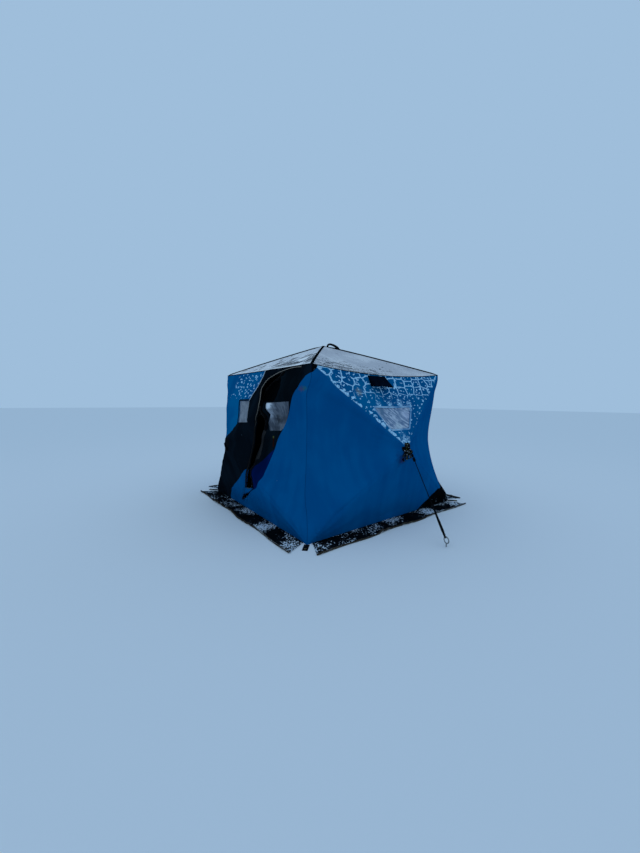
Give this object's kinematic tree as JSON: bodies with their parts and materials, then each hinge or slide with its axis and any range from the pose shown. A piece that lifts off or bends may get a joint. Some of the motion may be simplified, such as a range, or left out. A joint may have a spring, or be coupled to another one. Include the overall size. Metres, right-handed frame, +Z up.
{
  "type": "pop-up ice fishing shelter",
  "caption": "Square pop-up ice fishing shelter: quilted cloth walls and a pyramid roof pushed out by hubs and rods, with a zipped door, windows, vents and a guy rope to an ice anchor.",
  "frame": {"origin": "middle of the floor plan, on the ice", "axes": "+Z up, -Y out of the door wall, +X out of the wall that the guy rope holds"},
  "size_m": [3.3746, 2.8934, 2.1005],
  "materials": {
    "quilted_cloth": "woven polyester, quilted, satin",
    "roof_cloth": "woven polyester under thin frost",
    "black_cloth": "woven polyester, matt",
    "clear_sheet": "clear sheet, frosted over",
    "zip_tape": "woven tape with a moulded coil",
    "black_plastic": "moulded, fine grain",
    "glass_fibre_rod": "drawn glass fibre, satin",
    "webbing": "woven webbing",
    "brass": "pressed, dull",
    "rope": "braided cord",
    "steel": "zinc plated rod"
  },
  "bodies": {
    "root": {"door_wall_top": "quilted_cloth", "door_wall_left": "quilted_cloth", "door_wall_middle": "quilted_cloth", "door_wall_right": "quilted_cloth", "door_wall_foot_left": "quilted_cloth", "door_wall_foot_right": "quilted_cloth", "right_wall_top": "quilted_cloth", "right_wall_left": "quilted_cloth", "right_wall_right": "quilted_cloth", "right_wall_foot": "quilted_cloth", "back_wall_top": "quilted_cloth", "back_wall_left": "quilted_cloth", "back_wall_right": "quilted_cloth", "back_wall_foot": "quilted_cloth", "left_wall_top": "quilted_cloth", "left_wall_left": "quilted_cloth", "left_wall_right": "quilted_cloth", "left_wall_foot": "quilted_cloth", "roof_front": "roof_cloth", "roof_right": "roof_cloth", "roof_back": "roof_cloth", "roof_left": "roof_cloth", "snow_flap_front": "black_cloth", "snow_flap_right": "black_cloth", "snow_flap_back": "black_cloth", "snow_flap_left": "black_cloth", "door_leaf": "black_cloth", "corner_patches": "black_cloth", "upper_corner_boots": "black_cloth", "lower_corner_boots": "black_cloth", "anchor_tabs": "black_cloth", "door_leaf_window": "clear_sheet", "door_wall_window": "clear_sheet", "wall_windows": "clear_sheet", "door_zip": "zip_tape", "vent_hoods": "black_plastic", "roof_hub": "black_plastic", "wall_hubs": "black_plastic", "roof_rods": "glass_fibre_rod", "door_wall_rods": "glass_fibre_rod", "right_wall_rods": "glass_fibre_rod", "back_wall_rods": "glass_fibre_rod", "left_wall_rods": "glass_fibre_rod", "pull_loops": "webbing", "tab_grommets": "brass", "guy_rope": "rope", "ice_anchor": "steel"}
  },
  "joints": []
}
